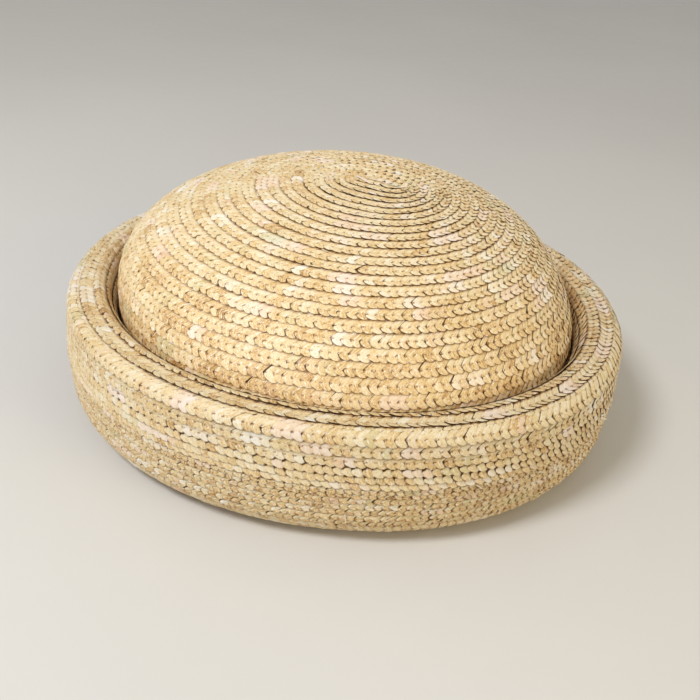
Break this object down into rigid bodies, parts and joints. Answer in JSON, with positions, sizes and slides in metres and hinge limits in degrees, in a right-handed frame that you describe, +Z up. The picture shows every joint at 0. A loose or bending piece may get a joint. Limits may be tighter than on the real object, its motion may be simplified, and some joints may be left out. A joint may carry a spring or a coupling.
{
  "type": "straw beret",
  "caption": "Round straw hat with a low slumped dome, sewn from plait in a spiral, inside a turned-up brim that rolls over at its lip.",
  "frame": {"origin": "middle of the hat's plan, on the surface that it rests on", "axes": "+Z up out of the crown, +X along the plan's long way, +Y to the side that the crown slumps towards"},
  "size_m": [0.242, 0.23, 0.0937],
  "materials": {
    "crown_straw": "plaited wheat straw, satin, pale gold with bleached strands",
    "brim_straw": "plaited wheat straw, satin, pale gold with bleached strands, rows lapped more closely"
  },
  "bodies": {
    "root": {"crown": "crown_straw", "brim": "brim_straw"}
  },
  "joints": []
}
